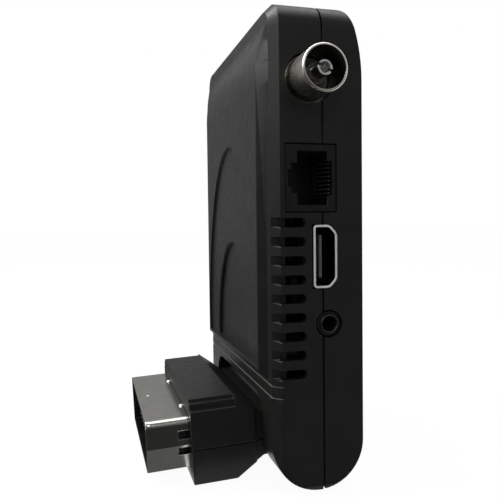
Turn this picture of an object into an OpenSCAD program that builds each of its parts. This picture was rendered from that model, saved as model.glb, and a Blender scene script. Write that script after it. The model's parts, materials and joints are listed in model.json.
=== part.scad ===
// Plug-in terrestrial television decoder: a flat two-shell case that carries an aerial socket,
// network, video and infrared ports on one edge, and a 21-way plug that swings on a hinge at its foot.
// Millimetres. +Z is up, -X is the front of the case, -Y is the edge with the ports.
// The hinge axis runs along Y. Pieces are drawn about that axis and then moved to the standing origin.

/* [Case] */
// Thickness of the case, from front face to rear face
case_t = 23; // [22:0.5:28]
// Distance from the aerial socket's middle up to the top of the case
aerial_drop = 18.2; // [17.6:0.1:22]
// Thickness of the moulded walls
wall = 2; // [1.6:0.1:2.2]
// Chamfer along the front edges
edge_chamfer = 2; // [1.4:0.1:2.4]
// Radius of the two top corners, seen from the front
corner_r = 6.5; // [5:0.5:9]
// Radius of the slow curve at the top of the rear face, seen from the side
back_arc_r = 42; // [36:1:60]
// Height of that slow curve below the top
back_arc_run = 18; // [12:0.5:19]
// Radius of the top rear edge, seen from the side
back_top_r = 3; // [2.6:0.1:4]
// Distance of the joint between the shells behind the hinge axis
seam_back = 1.3; // [0.5:0.1:2]
// Width of the shadow groove along the joint
seam_gap = 0.4; // [0.2:0.1:0.8]
// Depth of the shadow groove along the joint
seam_depth = 0.5; // [0.3:0.1:0.8]

/* [Front relief] */
// Height of the raised panel above the front face
panel_rise = 2; // [1.2:0.1:2.2]
// Width of the flat rim between the panel's foot and the edge chamfer
panel_rim = 3.4; // [2.5:0.1:6]
// Run of the panel's steep walls, from foot to flat top
panel_wall_run = 1.2; // [0.8:0.1:2]
// Height of the panel's lower edge above the ground
panel_low = 27; // [26.8:0.1:30]
// Run of the panel's lower wall, from foot to flat top
panel_low_run = 1.6; // [1:0.1:3]
// Height of the flat border below the arches
arch_sill = 0.9; // [0.5:0.1:3]
// Distance from the end of the panel's ramp up to the top of the case
panel_top_gap = 5; // [4:0.5:8]
// Height of the ramp at the panel's upper end
panel_ramp = 9; // [6:0.5:14]
// Height over which the panel's steep side walls run out below the ramp
panel_fade = 43; // [20:1:50]
// Width of the border between the large arch and the panel's edge
arch_border = 0.6; // [0.4:0.1:2]
// Rise of the large arch above its springing
outer_arch_rise = 57.5; // [40:0.5:64]
// Half width of the small arch
inner_arch_half_w = 18.5; // [12:0.5:22]
// Rise of the small arch above its springing
inner_arch_rise = 30; // [20:0.5:38]
// Depth of the large arch's step below the panel
outer_arch_step = 0.8; // [0.3:0.1:0.9]
// Depth of the small arch's step below the large one
inner_arch_step = 1.1; // [0.3:0.1:1.2]
// Heights of the two fine grooves below the panel
front_groove_z = [23.2, 26];
// Width of a fine groove
front_groove_w = 0.3; // [0.2:0.1:1]
// Depth of a fine groove
front_groove_d = 0.3; // [0.2:0.1:0.8]

/* [Vents] */
// Number of cooling slots on each edge
vent_count = 9; // [5:1:9]
// Spacing of the slots
vent_pitch = 4.53; // [4:0.01:4.6]
// Height of a slot
vent_h = 2.2; // [1.6:0.1:2.6]
// Height of the lowest slot's lower edge
vent_low = 27.6; // [27:0.1:30]
// Distance from the front face to the slots' round ends
vent_reach = 8.3; // [6:0.1:9]
// Depth of the shallow run-out where a slot crosses the chamfer
vent_runout = 1.9; // [0.8:0.1:1.9]
// Number of low slots left out on the far edge, beside the power socket
vent_skip = 5; // [5:1:8]

/* [Hinge] */
// Room for the leads between a hinge bush and the edge wall
lead_room = 4.3; // [3:0.1:8]
// Radius of the notch's upper corners in the walls
notch_corner_r = 6; // [2:0.5:6.5]
// Radius of the plug's barrel
barrel_r = 9.5; // [9:0.1:9.8]
// Clearance between the barrel and the roof of its notch
barrel_gap = 0.4; // [0.3:0.1:0.8]
// Outer radius of the hollow axles
axle_r = 5; // [4:0.1:5.5]
// Bore radius of the hollow axles
axle_bore_r = 3.6; // [3:0.1:3.8]
// Radial running clearance of an axle in its bush
axle_run = 0.05; // [0.02:0.01:0.1]
// Length of an axle inside the barrel
axle_grip = 6; // [4:0.5:8]
// Thickness of a hinge bush
bush_t = 2; // [1.5:0.1:2.4]
// Thickness of a friction washer
washer_t = 0.3; // [0.2:0.05:0.35]

/* [Plug] */
// Distance from the hinge axis to the hood's front face
hood_front = 29.5; // [27:0.1:34]
// Distance from the hinge axis to the hood's upper rear shoulder
hood_shoulder = 18; // [16.5:0.1:19]
// Distance from the hinge axis to the hood's lower rear shoulder
hood_low_shoulder = 18.3; // [17:0.1:19]
// Height of the hood's top above the plug's centre line
hood_top_h = 11; // [10.4:0.1:11.2]
// Depth of the hood's underside below the plug's centre line
hood_low_h = 10.15; // [9.8:0.05:10.6]
// Half height of the neck where it leaves the case
neck_half_h = 5.4; // [5:0.1:6]
// Distance from the hinge axis to the narrow part of the neck
neck_reach = 11; // [10.8:0.1:12]
// Distance that each side of the neck stands in from the hood's side
neck_side = 0.7; // [0.5:0.1:1]
// Wall of the hood
hood_wall = 2; // [1.6:0.1:2.2]
// Gap between the metal shield and the inside of the hood
hood_side_gap = 0.7; // [0.7:0.1:1.5]
// Height of the joint between hood and cover, from the plug's centre line
hood_split = -1.3; // [-2:0.1:-1]
// Width of each step on the hood's upper shoulders
shoulder_step_w = 1.2; // [0.8:0.1:1.4]
// Height of the upper step on the hood's shoulders
shoulder_step_1 = 0.9; // [0.6:0.1:1.2]
// Height of the lower step on the hood's shoulders
shoulder_step_2 = 1.7; // [1.2:0.1:2]
// Width of the metal shield
shield_w = 46.4; // [46:0.1:47]
// Height of the metal shield
shield_h = 13.8; // [12:0.1:14]
// Distance of the shield's middle below the plug's centre line
shield_drop = 0.5; // [0:0.05:0.6]
// Length of the shield in front of the hood
shield_out = 10.9; // [9:0.1:13]
// Wall of the shield
shield_t = 0.5; // [0.4:0.1:0.7]
// Inward slant of the shield's keyed lower corner
shield_slant = 3; // [2:0.1:4]
// Pitch of the contact blades in a row
blade_pitch = 3.81; // [3.7:0.01:3.9]
// Distance between the two rows of blades
blade_rows = 6; // [5.6:0.1:6.4]
// Width of a contact blade
blade_w = 2.6; // [2:0.1:2.8]
// Thickness of a contact blade
blade_t = 0.6; // [0.5:0.1:0.8]

/* [Ports] */
// Distance that the aerial socket stands out of the case
aerial_out = 9.7; // [8:0.1:12]
// Outer radius of the aerial socket's tube
aerial_r = 5.4; // [5.2:0.1:5.6]
// Wall of the aerial socket's tube
aerial_wall = 0.6; // [0.4:0.1:0.8]
// Radius of the centre contact's hole
aerial_pin_r = 1.2; // [1.1:0.05:1.4]
// Height of the infrared socket's middle above the board's lower edge
infrared_up = 16.3; // [16:0.1:18]
// Height of the video socket's middle above the infrared socket's
video_up = 16.3; // [14:0.1:18]
// Height of the network socket's middle above the video socket's
network_up = 18.7; // [17.5:0.1:20]
// Height of the aerial socket's middle above the network socket's
aerial_up = 23.5; // [21:0.1:26]
// Bore radius of the infrared socket
infrared_bore_r = 1.8; // [1.75:0.05:2]
// Height of the memory-stick socket's middle, on the far edge, above the video socket's
usb_up = 5.2; // [3:0.1:8]
// Height of the power socket's middle, on the far edge, above the infrared socket's
power_up = 1.5; // [1:0.1:3]

/* [Board] */
// Thickness of the circuit board
board_t = 1.6; // [1:0.1:1.6]
// Distance of the board's front face behind the hinge axis
board_x = 5; // [5:0.1:5.4]
// Shaft radius of the case screws
screw_r = 1.2; // [1:0.05:1.4]
// Head radius of the case screws
screw_head_r = 2.4; // [2:0.1:2.6]
// Outer radius of the screw bosses
boss_r = 2.8; // [2.4:0.1:3]
// Depth of the screw heads' seats below the rear face
screw_sink = 3.2; // [2.8:0.1:3.4]
// Height of the processor above the video socket's middle
chip_up = 5.2; // [3:0.1:8]
// Distance of the processor from the case's middle
chip_y = 2; // [-4:0.5:4]
// Height of the memory chip above the processor
memory_up = 22; // [18:0.5:24]
// Distance of the first capacitor from the case's middle
capacitor_y = 13; // [8:0.5:15]
// Spacing of the capacitors across the board
capacitor_pitch = 8; // [7:0.5:8]
// Distance of the upper capacitors below the aerial socket's middle
capacitor_drop = 3; // [0:0.5:6]
// Distance of the lower capacitor below the upper ones
capacitor_step = 14; // [8:0.5:16]
// Distance of the power coil from the case's middle
coil_y = 12; // [6:0.5:16]
// Distance of the crystal from the case's middle
crystal_y = -10; // [-14:0.5:-6]
// Height of the crystal above the infrared socket's middle
crystal_up = 4.5; // [0:0.5:4.5]

/* [Hidden] */
$fn = 48;
fit = 0.1;
loose = 0.2;
cut = 1;
end_r = case_t / 2;
front_x = -case_t / 2;
rear_x = case_t / 2;

// Widths, from the plug outwards
barrel_half_w = shield_w / 2 + hood_wall + hood_side_gap;
notch_half_w = barrel_half_w + barrel_gap;
neck_half_w = barrel_half_w - neck_side;
axle_end = notch_half_w + wall + fit + bush_t;
inner_side = axle_end + lead_room;
side = inner_side + wall;
case_w = 2 * side;

// Heights, from the hinge upwards
notch_top = end_r + barrel_r + barrel_gap;
board_low = notch_top + wall + 0.8;
infrared_z = board_low + infrared_up;
power_z = infrared_z + power_up;
video_z = infrared_z + video_up;
usb_z = video_z + usb_up;
network_z = video_z + network_up;
aerial_z = network_z + aerial_up;
case_h = aerial_z + aerial_drop;
back_arc_z = case_h - back_arc_run;
panel_high = case_h - panel_top_gap;
panel_ramp_z = panel_high - panel_ramp;

// Places that follow from those
shield_front = hood_front + shield_out;
shield_top = shield_h / 2 - shield_drop;
droop = asin(end_r / norm([hood_front, hood_low_h])) - atan2(hood_low_h, hood_front);
tip_x = -shield_front * cos(droop) - shield_top * sin(droop);
origin_x = -(tip_x + rear_x) / 2;
origin_y = aerial_out / 2;
board_back = board_x + board_t;
board_room = sqrt(pow(back_arc_r - wall, 2) - pow(back_arc_r - rear_x + board_back + 0.4, 2));
board_high = min(back_arc_z + board_room, case_h - wall - 1.6);
board_side = inner_side - 0.5;
boss_side = side - corner_r;
boss_z = [board_low + 8.8, case_h - 8.5];
solder = board_x - fit;
panel_foot_half_w = side - edge_chamfer - panel_rim;
panel_top_half_w = panel_foot_half_w - panel_wall_run;
panel_top_low = panel_low + panel_low_run;
arch_foot = panel_top_low + arch_sill;

// Standard sizes of the bought-in connectors
network_size = [12.9, 15.4, 16];
network_floor = 4.8;
video_w = 15;
video_d = 5.9;
video_wall = 0.4;
video_back = 11;
video_chamfer = [1.7, 1.9];
infrared_r = 2.95;
infrared_hole_r = 3.3;
infrared_x = 2.6;
infrared_body = [5.2, 12, 5.4];
aerial_x = -1.9;
aerial_hole_r = 6.1;
aerial_flange_r = 5.8;
aerial_contact_wall = 0.55;
aerial_boss_r = 2.6;
tuner_size = [10.9, 23.5, 14.4];
tuner_y = -inner_side + 1.5;
tuner_drop = 10.2;
tuner_hole_pitch = 6;
usb_w = 13.1;
usb_d = 5.7;
usb_wall = 0.4;
usb_back = 14;
power_r = 4;
power_bore_r = 3.1;
power_pin_r = 1;
power_body = [10.9, 12.4, 9];
power_x = solder - power_body[0] / 2 - 1;

// Helpers

// A box between two opposite corners
module slab(low, high) {
    translate(low) cube(high - low);
}

// A round bar along X between two places
module bar_x(r, x0, x1) {
    translate([x0, 0, 0]) rotate([0, 90, 0]) cylinder(r = r, h = x1 - x0);
}

// A round bar along Y between two places
module bar_y(r, y0, y1) {
    translate([0, y0, 0]) rotate([-90, 0, 0]) cylinder(r = r, h = y1 - y0);
}

// A flat outline in X and Z, given thickness along Y between two places
module plate_y(y0, y1) {
    translate([0, y1, 0]) rotate([90, 0, 0]) linear_extrude(y1 - y0) children();
}

// Moves the case pieces from the hinge axis to the standing origin
module in_place() {
    translate([origin_x, origin_y, 0]) children();
}

// Moves the plug pieces from their own axis to the hinge, drooping until the hood meets the ground
module in_plug() {
    in_place() translate([0, 0, end_r]) rotate([0, -droop, 0]) children();
}

// A child and its mirror image across the case's middle plane
module both_edges() {
    children();
    mirror([0, 1, 0]) children();
}

// Outline of an upright arch: the upper half of an ellipse
function arch(half_w, rise, steps) = [
    for (i = [0 : steps]) [half_w * cos(180 * i / steps), rise * sin(180 * i / steps)]
];

// Case

// Side outline of the case, drawn in by an inset: round foot, plain edges, slow curve at the rear top
module side_profile(inset) {
    t = case_t - 2 * inset;
    top = case_h - inset;
    arc = back_arc_r - inset;
    arc_at = [rear_x - back_arc_r, back_arc_z];
    r = max(back_top_r - inset, 0.5);
    edge_up = top - r - back_arc_z;
    edge_at = arc_at + [sqrt(pow(arc - r, 2) - pow(edge_up, 2)), edge_up];
    way = (edge_at - arc_at) / norm(edge_at - arc_at);
    difference() {
        union() {
            translate([0, end_r]) circle(end_r - inset);
            translate([-t / 2, end_r]) square([t, back_arc_z - end_r]);
            intersection() {
                translate([-t / 2, end_r]) square([t, top - end_r]);
                translate(arc_at) circle(arc, $fn = 192);
            }
        }
        difference() {
            polygon([edge_at, [edge_at[0], top + cut], [rear_x + 2 * cut, top + cut], edge_at + way * (r + cut)]);
            translate(edge_at) circle(r);
        }
    }
}

// Front outline of the case as a solid, with its front edges chamfered, drawn in by an inset
module front_outline(inset) {
    t = case_t - 2 * inset;
    w = case_w - 2 * inset;
    top = case_h - inset;
    r = corner_r - inset;
    c = edge_chamfer;
    translate([0, 0, -2 * cut]) linear_extrude(top - r + 2 * cut)
        polygon([[-t / 2, -w / 2 + c], [-t / 2 + c, -w / 2], [t / 2, -w / 2],
                 [t / 2, w / 2], [-t / 2 + c, w / 2], [-t / 2, w / 2 - c]]);
    plate_y(-w / 2 + r, w / 2 - r)
        polygon([[-t / 2, top - r - cut], [-t / 2, top - c], [-t / 2 + c, top], [t / 2, top],
                 [t / 2, top - r - cut]]);
    both_edges() translate([0, w / 2 - r, top - r]) {
        bar_x(r, -t / 2 + c, t / 2);
        translate([-t / 2, 0, 0]) rotate([0, 90, 0]) cylinder(r1 = r - c, r2 = r, h = c);
    }
}

// The outer form of the case, drawn in by an inset
module case_form(inset) {
    intersection() {
        plate_y(-case_w, case_w) side_profile(inset);
        front_outline(inset);
    }
}

// A thin section of the panel's run-out at +Y, level with a height
module run_out_section(z, rise, top, rim) {
    a = panel_top_half_w - 1;
    translate([0, 0, z]) linear_extrude(0.01)
        polygon([[front_x + fit, a], [front_x + fit, rim], [front_x, rim], [front_x - rise, top], [front_x - rise, a]]);
}

// The raised front panel: flat top, steep walls, a ramp above, and side walls that run out to the rim
module panel_form() {
    top = panel_top_half_w;
    foot = panel_foot_half_w;
    rim = side - edge_chamfer;
    hull() {
        translate([front_x + fit, 0, 0]) rotate([90, 0, -90]) linear_extrude(0.01)
            polygon([[-foot, panel_low], [foot, panel_low], [foot, panel_high], [-foot, panel_high]]);
        translate([front_x - panel_rise, 0, 0]) rotate([90, 0, -90]) linear_extrude(0.01)
            polygon([[-top, panel_top_low], [top, panel_top_low], [top, panel_ramp_z], [-top, panel_ramp_z]]);
    }
    both_edges() hull() {
        run_out_section(panel_high, 0.01, top, rim - 1.3);
        run_out_section(panel_ramp_z, panel_rise, top, rim);
        run_out_section(panel_ramp_z - panel_fade, 0.01, top, foot);
    }
}

// A recess of arch outline, sunk from in front of the panel to a given depth below its top
module arch_recess(half_w, rise, depth) {
    translate([front_x - panel_rise + depth, 0, arch_foot]) rotate([90, 0, -90])
        linear_extrude(2 * panel_rise) polygon(arch(half_w, rise, 48));
}

// The notch at the foot of the case: square inside, with rounded corners through the walls
module notch() {
    clear = barrel_r + loose;
    slab([-clear, -notch_half_w, -cut], [clear, notch_half_w, notch_top]);
    slab([-case_t, -notch_half_w, -cut], [case_t, notch_half_w, notch_top - notch_corner_r]);
    slab([-case_t, -notch_half_w + notch_corner_r, -cut], [case_t, notch_half_w - notch_corner_r, notch_top]);
    both_edges() translate([0, notch_half_w - notch_corner_r, notch_top - notch_corner_r])
        bar_x(notch_corner_r, -case_t, case_t);
}

// A row of cooling slots through the edge wall at -Y, from a given one upwards
module vents(first) {
    slot_start = front_x + edge_chamfer + loose;
    slot_end = front_x + vent_reach;
    for (i = [first : vent_count - 1]) translate([0, 0, vent_low + i * vent_pitch]) {
        plate_y(-side - cut, -inner_side + fit) {
            translate([slot_start, 0]) square([slot_end - vent_h / 2 - slot_start, vent_h]);
            translate([slot_end - vent_h / 2, vent_h / 2]) circle(vent_h / 2);
        }
        slab([front_x - cut, -side - cut, 0], [slot_start + fit, -side + vent_runout, vent_h]);
    }
}

// Fine grooves that run across the front and round its chamfered edges
module front_grooves() {
    for (z = front_groove_z) intersection() {
        difference() {
            case_form(-cut);
            case_form(front_groove_d);
        }
        slab([front_x - 2 * cut, -side - 2 * cut, z - front_groove_w / 2],
             [front_x + edge_chamfer + 0.5, side + 2 * cut, z + front_groove_w / 2]);
    }
}

// Outline of the video socket, wide side to the front, grown by a margin
module video_outline(grow) {
    a = video_chamfer[0];
    b = video_chamfer[1];
    x1 = solder - 0.3;
    x0 = x1 - video_d;
    z0 = video_z - video_w / 2;
    z1 = video_z + video_w / 2;
    polygon([[x0 - grow, z0 - grow], [x1 - a + grow * 0.4, z0 - grow], [x1 + grow, z0 + b - grow * 0.4],
             [x1 + grow, z1 - b + grow * 0.4], [x1 - a + grow * 0.4, z1 + grow], [x0 - grow, z1 + grow]]);
}

// Openings in the edge walls for every port
module port_cuts() {
    through = -inner_side + fit;
    translate([aerial_x, 0, aerial_z]) bar_y(aerial_hole_r, -side - cut, through);
    slab([network_floor - network_size[0] - loose, -side - cut, network_z - network_size[2] / 2 - loose],
         [network_floor + fit, through + edge_chamfer, network_z + network_size[2] / 2 + loose]);
    plate_y(-side - cut, through) video_outline(loose);
    translate([infrared_x, 0, infrared_z]) bar_y(infrared_hole_r, -side - cut, through);
    slab([solder - usb_d - loose, -through, usb_z - usb_w / 2 - loose],
         [solder + fit, side + cut, usb_z + usb_w / 2 + loose]);
    translate([power_x, 0, power_z]) bar_y(power_r + loose, -through, side + cut);
}

// A child at each of the four screw places
module at_bosses() {
    for (z = boss_z) both_edges() translate([0, boss_side, z]) children();
}

// Half the case: everything on one side of the joint, with bosses given as children
module case_half(x0, x1) {
    difference() {
        intersection() {
            union() {
                difference() {
                    case_form(0);
                    case_form(wall);
                }
                intersection() {
                    case_form(0);
                    slab([-case_t, -notch_half_w - wall, -cut],
                         [case_t, notch_half_w + wall, notch_top + wall]);
                }
            }
            slab([x0, -case_w, -cut], [x1, case_w, case_h + cut]);
        }
        notch();
        translate([0, 0, end_r]) bar_y(axle_r + loose, -notch_half_w - wall - cut, notch_half_w + wall + cut);
        port_cuts();
        vents(0);
        mirror([0, 1, 0]) vents(vent_skip);
    }
}

module front_shell() {
    color("#1d1e1e") in_place() {
        difference() {
            case_half(-case_t, seam_back);
            front_grooves();
            intersection() {
                difference() {
                    case_form(-cut);
                    case_form(seam_depth);
                }
                slab([seam_back - seam_gap, -case_w, -2 * cut], [seam_back + cut, case_w, case_h + 2 * cut]);
            }
        }
        difference() {
            panel_form();
            arch_recess(panel_top_half_w - arch_border, outer_arch_rise, outer_arch_step);
            arch_recess(inner_arch_half_w, inner_arch_rise, outer_arch_step + inner_arch_step);
        }
        at_bosses() difference() {
            bar_x(boss_r, front_x + wall - fit, solder);
            bar_x(screw_r + 0.05, front_x + 2 * wall, solder + cut);
        }
    }
}

module rear_shell() {
    head_seat = rear_x - screw_sink;
    color("#1b1c1c") in_place() difference() {
        union() {
            case_half(seam_back, case_t);
            intersection() {
                at_bosses() bar_x(boss_r + 0.6, board_back + fit, rear_x);
                case_form(wall / 2);
            }
        }
        at_bosses() {
            bar_x(screw_r + loose, 0, case_t);
            bar_x(screw_head_r + loose, head_seat, case_t);
        }
    }
}

module case_screws() {
    head_seat = rear_x - screw_sink;
    head_top = head_seat + 1.5;
    color("#5b5d60") in_place() at_bosses() difference() {
        union() {
            bar_x(screw_r, front_x + 2 * wall + 1, head_seat);
            bar_x(screw_head_r, head_seat, head_top);
        }
        for (turn = [0, 90]) rotate([turn, 0, 0])
            slab([head_top - 0.9, -0.35, -1.5], [head_top + cut, 0.35, 1.5]);
    }
}

// Board and what is soldered to it

module main_board() {
    r = 3.5;
    color("#1f5b38") in_place() difference() {
        translate([board_x, 0, 0]) rotate([90, 0, 90]) linear_extrude(board_t) {
            translate([-board_side + r, board_low]) square([2 * (board_side - r), board_high - board_low]);
            translate([-board_side, board_low + r]) square([2 * board_side, board_high - board_low - 2 * r]);
            for (y = [-1, 1], z = [board_low + r, board_high - r])
                translate([y * (board_side - r), z]) circle(r);
        }
        at_bosses() bar_x(screw_r + loose, 0, case_t);
    }
}

module tuner_can() {
    t = 0.5;
    low = aerial_z - tuner_drop;
    color("#a9abae") in_place() difference() {
        slab([solder - tuner_size[0], tuner_y, low],
             [solder, tuner_y + tuner_size[1], low + tuner_size[2]]);
        slab([solder - tuner_size[0] + t, tuner_y + t, low + t],
             [solder + cut, tuner_y + tuner_size[1] - t, low + tuner_size[2] - t]);
        for (i = [1 : 3]) translate([0, tuner_y + i * tuner_hole_pitch, low + tuner_size[2] / 2])
            bar_x(1.4, -case_t, solder - tuner_size[0] + cut);
        translate([aerial_x, 0, aerial_z]) bar_y(2.4, tuner_y - cut, tuner_y + cut);
    }
}

module aerial_socket_tube() {
    root = tuner_y - fit;
    color("#b9b4a8") in_place() translate([aerial_x, 0, aerial_z]) difference() {
        union() {
            bar_y(aerial_r, -side - aerial_out + 0.3, root);
            translate([0, -side - aerial_out, 0]) rotate([-90, 0, 0])
                cylinder(r1 = aerial_r - 0.3, r2 = aerial_r, h = 0.3);
            bar_y(aerial_flange_r, -side + 1.6, root);
        }
        bar_y(aerial_r - aerial_wall, -side - aerial_out - cut, root + cut);
    }
}

module aerial_insulator() {
    root = tuner_y - fit;
    color("#d8d2c2") in_place() translate([aerial_x, 0, aerial_z]) difference() {
        union() {
            bar_y(aerial_r - aerial_wall - fit, root - 3, root);
            bar_y(aerial_boss_r, -side - aerial_out + 6, root);
        }
        bar_y(aerial_pin_r + aerial_contact_wall + 0.05, -case_w, 0);
    }
}

module aerial_contact() {
    tip = -side - aerial_out + 0.3;
    slit = 0.6;
    color("#c8c2b2") in_place() translate([aerial_x, 0, aerial_z]) difference() {
        bar_y(aerial_pin_r + aerial_contact_wall, tip, tuner_y + 2);
        bar_y(aerial_pin_r, tip - cut, tip + 8);
        rotate([0, 25, 0]) slab([-case_t, tip - cut, -slit / 2], [case_t, tip + 5, slit / 2]);
    }
}

module network_socket() {
    face = -side + 0.5;
    x1 = network_floor;
    x0 = x1 - network_size[0];
    color("#161717") in_place() translate([0, 0, network_z]) difference() {
        slab([x0, face, -network_size[2] / 2], [x1, face + network_size[1], network_size[2] / 2]);
        slab([x0 + 3.1, face - cut, -6.4], [x1 - 2.35, face + 12, 6.4]);
        slab([x0 + 1.6, face - cut, -3.5], [x0 + 3.1 + fit, face + 9, 3.5]);
        slab([x0 + 0.75, face - cut, -2], [x0 + 1.6 + fit, face + 9, 2]);
        slab([x1 - 2.35 - fit, face - cut, -4.1], [x1 - 1, face + 9, 4.1]);
    }
}

module network_contacts() {
    face = -side + 0.5;
    x1 = network_floor;
    wire_r = 0.23;
    pitch = 1.02;
    color("#c9a350") in_place() translate([0, 0, network_z])
        for (i = [0 : 7]) translate([x1 - 1.4, face + 1.2, (i - 3.5) * pitch]) {
            sphere(wire_r, $fn = 16);
            bar_y(wire_r, 0, 7.6, $fn = 16);
            rotate([0, 0, 28]) rotate([-90, 0, 0]) cylinder(r = wire_r, h = 6, $fn = 16);
        }
}

module video_socket_shell() {
    color("#c3c5c6") in_place() difference() {
        plate_y(-side - 0.3, -side + video_back) video_outline(0);
        plate_y(-side - cut, -side + video_back + cut) video_outline(-video_wall);
    }
}

module video_socket_insert() {
    back = -side + video_back;
    color("#151515") in_place() {
        plate_y(back - 2.6, back - fit) video_outline(-video_wall - fit);
        slab([0.45, -side + 0.9, video_z - 5.1], [1.15, back - 2.5, video_z + 5.1]);
    }
}

module video_contacts() {
    back = -side + video_back;
    t = 0.12;
    color("#c9a350") in_place() for (i = [0 : 18]) {
        front_row = i % 2 == 0;
        x = front_row ? 0.45 - t : 1.15;
        translate([x, -side + 1.5, video_z + (i - 9) * 0.5 - 0.15])
            cube([t, back - 2.6 - (-side + 1.5), 0.3]);
    }
}

module infrared_socket() {
    face = -side - 0.2;
    body_y = -inner_side - fit + loose;
    x1 = solder;
    color("#191a1a") in_place() difference() {
        union() {
            slab([x1 - infrared_body[0], body_y, infrared_z - infrared_body[2] / 2],
                 [x1, body_y + infrared_body[1], infrared_z + infrared_body[2] / 2]);
            translate([infrared_x, 0, infrared_z]) bar_y(infrared_r - 0.5, face, body_y + fit);
            translate([infrared_x, 0, infrared_z]) bar_y(infrared_r, face + 0.6, body_y + fit);
        }
        translate([infrared_x, 0, infrared_z]) bar_y(infrared_bore_r, face - cut, body_y + 10.5);
    }
}

module infrared_contacts() {
    body_y = -inner_side - fit + loose;
    color("#b8b9bb") in_place() for (edge = [-1, 1], y = [3, 8])
        translate([solder - 0.3, body_y + y, infrared_z + edge * (infrared_body[2] / 2 + 0.8)])
            translate([0, -0.8, -0.7]) cube([0.3, 1.6, 1.4]);
}

module usb_outline(grow) {
    translate([solder - usb_d - grow, usb_z - usb_w / 2 - grow]) square([usb_d + 2 * grow, usb_w + 2 * grow]);
}

module usb_shell() {
    color("#bfc1c3") in_place() difference() {
        plate_y(side - usb_back, side) usb_outline(0);
        plate_y(side - usb_back - cut, side + cut) usb_outline(-usb_wall);
    }
}

module usb_insert() {
    back = side - usb_back;
    x1 = solder - usb_wall - 0.5;
    color("#dcdcd8") in_place() {
        plate_y(back + fit, back + 2.6) usb_outline(-usb_wall - fit);
        slab([x1 - 1.8, back + 2.5, usb_z - 5.6], [x1, side - 1, usb_z + 5.6]);
    }
}

module usb_contacts() {
    back = side - usb_back;
    x1 = solder - usb_wall - 0.5 - 1.8;
    color("#c9a350") in_place() for (z = [-3.5, -1, 1, 3.5])
        slab([x1 - 0.2, back + 2.6, usb_z + z - 0.5], [x1, side - 2, usb_z + z + 0.5]);
}

module power_socket() {
    body_y = inner_side - fit;
    x1 = solder;
    color("#171818") in_place() difference() {
        union() {
            slab([x1 - power_body[0], body_y - power_body[1], power_z - power_body[2] / 2],
                 [x1, body_y, power_z + power_body[2] / 2]);
            translate([power_x, 0, power_z]) bar_y(power_r, body_y - fit, side);
        }
        translate([power_x, 0, power_z]) bar_y(power_bore_r, side - 9.5, side + cut);
    }
}

module power_pin() {
    color("#c3c4c6") in_place() translate([power_x, 0, power_z]) {
        bar_y(power_pin_r, side - 9.5, side - 1.8);
        translate([0, side - 1.8, 0]) rotate([-90, 0, 0]) cylinder(r1 = power_pin_r, r2 = power_pin_r / 2, h = 0.6);
    }
}

chip = [1.2, 14, 14];
chip_at = [chip_y, video_z + chip_up];
memory = [1, 13, 8];
memory_z = chip_at[1] + memory_up;
capacitor_z = aerial_z - capacitor_drop;

module processor_chip() {
    color("#202122") in_place()
        slab([solder - chip[0], chip_at[0] - chip[1] / 2, chip_at[1] - chip[2] / 2],
             [solder, chip_at[0] + chip[1] / 2, chip_at[1] + chip[2] / 2]);
}

module heat_sink() {
    base = solder - chip[0] - fit;
    half = 10;
    fins = 7;
    fin_t = 1;
    color("#8d9094") in_place() {
        slab([base - 1.6, chip_at[0] - half, chip_at[1] - half], [base, chip_at[0] + half, chip_at[1] + half]);
        for (i = [0 : fins - 1]) {
            y = chip_at[0] - half + i * (2 * half - fin_t) / (fins - 1);
            slab([base - 6, y, chip_at[1] - half], [base - 1.5, y + fin_t, chip_at[1] + half]);
        }
    }
}

module memory_chip() {
    color("#202122") in_place()
        slab([solder - memory[0], chip_y - memory[1] / 2, memory_z - memory[2] / 2],
             [solder, chip_y + memory[1] / 2, memory_z + memory[2] / 2]);
}

module capacitors() {
    next_y = capacitor_y + capacitor_pitch;
    color("#2b3440") in_place()
        for (at = [[capacitor_y, capacitor_z], [next_y, capacitor_z], [next_y, capacitor_z - capacitor_step]])
        translate([0, at[0], at[1]]) {
            bar_x(3.2, solder - 7.6, solder - 0.6);
            slab([solder - 0.6, -3.3, -3.3], [solder, 3.3, 3.3]);
        }
}

module power_coil() {
    color("#54524c") in_place() translate([solder, coil_y, infrared_z]) {
        slab([-0.8, -3.6, -3.6], [0, 3.6, 3.6]);
        bar_x(3.2, -4, -0.8);
    }
}

module crystal() {
    color("#b9bbbd") in_place() translate([solder, crystal_y, infrared_z + crystal_up]) {
        slab([-3.4, -2.3, -3.2], [0, 2.3, 3.2]);
        for (z = [-3.2, 3.2]) translate([0, 0, z]) bar_x(2.3, -3.4, 0);
    }
}

// Signal leads from the board to the plug

header = [6.4, 22, 4.6];
header_y = -2;
lead_r = 1.1;
lead_x = solder - 4;
lead_z = board_low + 2.4;
lead_drop_y = inner_side - 0.1 - lead_r;

module harness_header() {
    color("#e2dfd3") in_place() difference() {
        slab([solder - header[0], header_y, board_low + 0.2],
             [solder, header_y + header[1], board_low + 0.2 + header[2]]);
        slab([solder - header[0] - cut, header_y + 1, board_low + 1.2],
             [solder - header[0] + 1.5, header_y + header[1] - 1, board_low + header[2] - 0.8]);
    }
}

module case_harness() {
    color("#7a3a36") in_place() {
        translate([lead_x, 0, lead_z]) bar_y(lead_r, header_y + header[1], lead_drop_y);
        translate([lead_x, lead_drop_y, lead_z]) sphere(lead_r);
        translate([lead_x, lead_drop_y, end_r]) cylinder(r = lead_r, h = lead_z - end_r);
        translate([lead_x, lead_drop_y, end_r]) sphere(lead_r);
        translate([0, lead_drop_y, end_r]) bar_x(lead_r, 0, lead_x);
        translate([0, lead_drop_y, end_r]) sphere(lead_r);
        translate([0, 0, end_r]) bar_y(lead_r, axle_end + loose, lead_drop_y);
    }
}

// Hinge

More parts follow.
